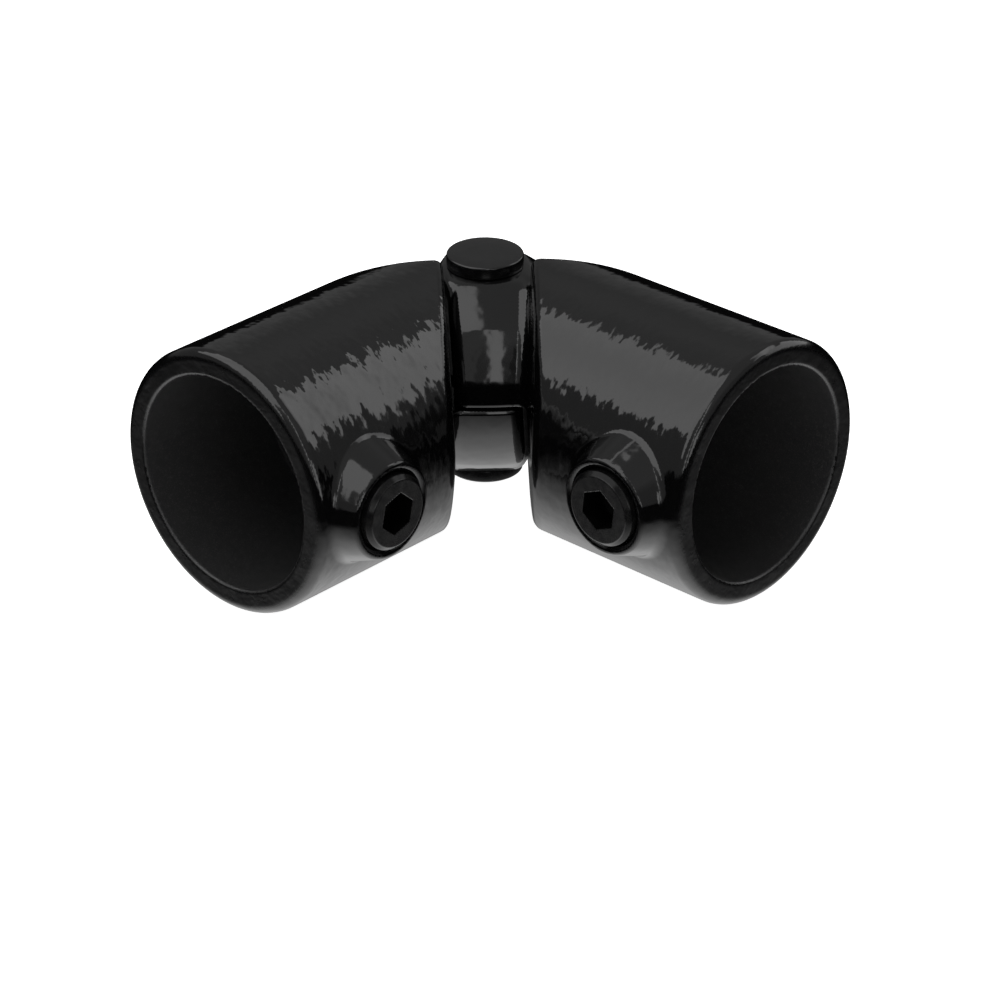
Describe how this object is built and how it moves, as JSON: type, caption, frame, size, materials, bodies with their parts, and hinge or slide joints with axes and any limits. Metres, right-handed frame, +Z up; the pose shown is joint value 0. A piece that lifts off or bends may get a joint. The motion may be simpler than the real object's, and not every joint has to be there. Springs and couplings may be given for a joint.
{
  "type": "in-line swivel tube fitting",
  "caption": "In-line swivel fitting for round tube: cast sockets hinged on a riveted pin through a split lug, each gripping its tube with a hexagon-socket set screw.",
  "frame": {"origin": "centre of the bounding box's underside, with the fitting lying on its two sockets and bent at a right angle", "axes": "+Z up, along the pivot pin; -Y along the bisector of the bend, towards the mouths; +X towards the fixed socket's side"},
  "size_m": [0.1582, 0.0912, 0.0607],
  "materials": {
    "coated_casting": "gloss",
    "black_pin": "satin",
    "black_oxide_screw": "satin"
  },
  "bodies": {
    "fixed_arm": {"fixed_socket": "coated_casting", "pivot_pin": "black_pin"},
    "swing_arm": {"swing_socket": "coated_casting"},
    "fixed_screw": {"fixed_set_screw": "black_oxide_screw"},
    "swing_screw": {"swing_set_screw": "black_oxide_screw"}
  },
  "joints": [
    {"name": "swivel", "type": "hinge", "parent": "fixed_arm", "child": "swing_arm", "pos_m": [0, 0.03403, 0.03034], "axis": [0, 0, 1], "range_deg": [-180, 0]},
    {"name": "fixed_screw_feed", "type": "slide", "parent": "fixed_arm", "child": "fixed_screw", "axis": [0.7071, 0.7071, 0], "range_m": [-0.008, 0.0012]},
    {"name": "swing_screw_feed", "type": "slide", "parent": "swing_arm", "child": "swing_screw", "axis": [-0.7071, 0.7071, 0], "range_m": [-0.008, 0.0012]}
  ]
}
